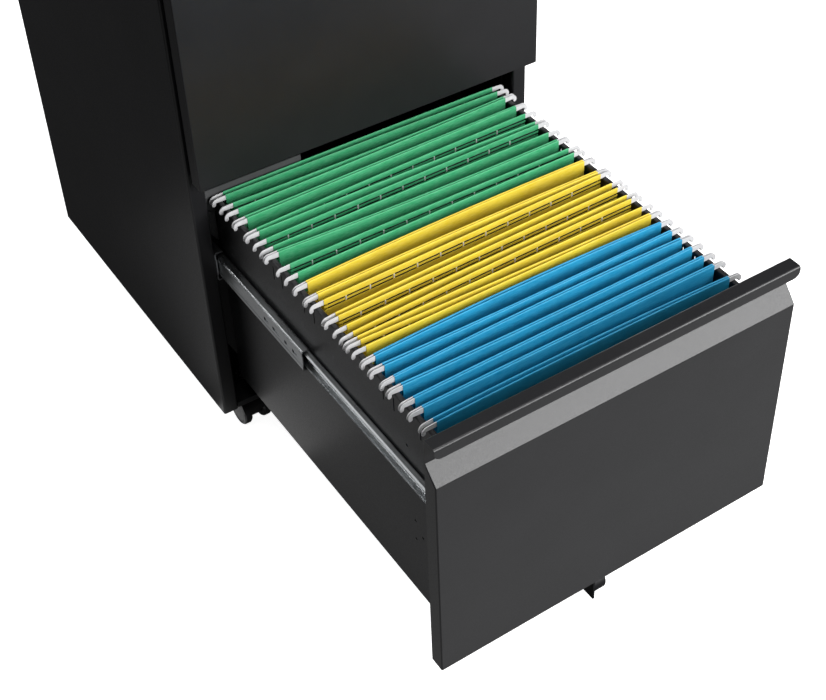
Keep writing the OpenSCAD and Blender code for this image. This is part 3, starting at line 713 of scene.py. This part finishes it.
def supportWheelProfile(radius, half):
    # A single wheel as (radius, distance along the axle): hub, recess, rim and tread, and the same
    # again on the other side.
    p = supportWheel
    hub, hubFoot = [radius * share for share in p["hubShares"]]
    rimFoot, rim = [radius * share for share in p["rimShares"]]
    floor = half - p["recess"]
    side = filleted([(p["bore"], half), (hub, half), (hubFoot, floor), (rimFoot, floor), (rim, half),
                     (radius, half), (radius, 0)], p["bends"], steps=4)
    return np.vstack([side[:-1], side[-2::-1] * np.array([1, -1])])


for corner in corners:
    low, high = nodeBox("caster_wheels_" + corner)
    twins = [turnedRing(casterWheelProfile() * np.array([1, side]), (low + high) / 2) for side in (1, -1)]
    makePiece("caster_wheels_" + corner + "_turned", twins, treadNylon, "wheels_" + corner,
              ["caster_wheels_" + corner])

low, high = nodeBox("fifth_wheel")
supportProfile = supportWheelProfile((high[2] - low[2]) / 2, (high[0] - low[0]) / 2)
makePiece("fifth_wheel_turned", [turnedRing(supportProfile, (low + high) / 2)], treadNylon, "fifth_wheel",
          ["fifth_wheel"])
print("wheels made")

# The stage, in metres: a white floor, soft boxes as (place, aim, size, watts), cards on the floor that
# are seen only in reflections as (glow, outline), and a camera that looks down on the open drawer.
studio = {
    "floorReach": 60, "floorGlow": 0.95, "worldGlow": 0.04, "cardHeight": 0.001,
    "boxes": {"key": ((1.15, -2.25, 1.35), (0, -0.4, 0.3), (2.6, 1.4), 110),
              "overhead": ((-0.1, -0.5, 2.4), (0, -0.3, 0.3), (1.6, 1.2), 30),
              "left_rim": ((-1.7, 1.2, 0.85), (-0.17, -0.3, 0.25), (2.0, 0.12), 8),
              "upper_left": ((-0.9, 1.1, 1.9), (-0.18, -0.3, 0.25), (1.3, 1.3), 6),
              "back_fill": ((1.3, 2.8, 1.2), (0, 0.3, 0.35), (1.6, 1.6), 22)},
    "cards": {"front_card": (0.5, [(-0.19, -1.7), (1.2, -1.7), (1.2, -0.44), (-0.19, -0.44)]),
              "left_card": (0.22, [(-0.9, -1.2), (-0.19, -1.2), (-0.19, -0.06), (-0.9, -0.06)]),
              "side_card": (0.27, [(-0.24, -0.06), (-0.24, 0.12), (-0.36, 0.42), (-0.7, 0.42),
                                   (-0.7, -0.06)]),
              "corner_card": (0.7, [(-0.24, -0.06), (-0.173, -0.06), (-0.173, 0.06), (-0.24, 0.06)])},
    "camera": (-0.6321, -1.1238, 1.2493), "yaw": 34.949, "pitch": 41.355, "lens": 67.595, "sensor": 36,
    "shift": (-0.09532, -0.06559),
}
white = (1, 1, 1, 1)


def softBox(name, place, aim, size, watts):
    # An area light at a place that points at its aim.
    light = bpy.data.lights.new(name, "AREA")
    light.shape = "RECTANGLE"
    light.size, light.size_y = size
    light.energy = watts
    lamp = bpy.data.objects.new(name, light)
    lamp.location = place
    x, y, z = np.array(place) - np.array(aim)
    lamp.rotation_euler = (math.atan2(math.hypot(x, y), z), 0, math.atan2(x, -y))
    bpy.context.scene.collection.objects.link(lamp)


def glowingSheet(name, paper, outline, height, glow):
    # A flat sheet of paper that glows white and isn't seen by light that matt surfaces scatter.
    mesh = bpy.data.meshes.new(name)
    mesh.from_pydata([(x, y, height) for x, y in outline], [], [tuple(range(len(outline)))])
    material = startMaterial(name + "_paper")[0]
    settings = {"Emission Color": white, "Emission Strength": glow, **paper}
    mesh.materials.append(finishMaterial(material, settings))
    sheet = bpy.data.objects.new(name, mesh)
    sheet.visible_diffuse = False
    bpy.context.scene.collection.objects.link(sheet)
    return sheet


def makeStage():
    # The floor, the cards and the lights. Reflections miss the floor and see the cards instead. The
    # world is dim for the object and white where the camera looks past the floor's far edge.
    whitePaper = {"Base Color": hexColour("f4f4f4"), "Roughness": 0.9}
    blackPaper = {"Base Color": hexColour("000000"), "Roughness": 1}
    reach = studio["floorReach"]
    outline = [(-reach, -reach), (reach, -reach), (reach, reach), (-reach, reach)]
    floor = glowingSheet("floor", whitePaper, outline, 0, studio["floorGlow"])
    floor.visible_glossy = False
    for name, (glow, outline) in studio["cards"].items():
        card = glowingSheet(name, blackPaper, outline, studio["cardHeight"], glow)
        card.visible_camera = False
        card.visible_shadow = False
    for name, settings in studio["boxes"].items():
        softBox(name, *settings)
    world = bpy.data.worlds.new("studio")
    world.use_nodes = True
    sky = world.node_tree.nodes["Background"]
    sky.inputs["Color"].default_value = white
    seen = addNode(world.node_tree, "ShaderNodeLightPath", output="Is Camera Ray")
    glow = addNode(world.node_tree, "ShaderNodeMapRange", {"To Min": studio["worldGlow"], "To Max": 1},
                   {"Value": seen})
    world.node_tree.links.new(glow, sky.inputs["Strength"])
    bpy.context.scene.world = world


def makeCamera():
    # A level camera, turned by yaw and tipped down by pitch.
    data = bpy.data.cameras.new("camera")
    data.lens, data.sensor_width = studio["lens"], studio["sensor"]
    data.shift_x, data.shift_y = studio["shift"]
    camera = bpy.data.objects.new("camera", data)
    camera.location = studio["camera"]
    camera.rotation_euler = (math.radians(90 - studio["pitch"]), 0, -math.radians(studio["yaw"]))
    bpy.context.scene.collection.objects.link(camera)
    bpy.context.scene.camera = camera


makeStage()
makeCamera()
bpy.context.scene.view_settings.view_transform = "Standard"
print("stage set")
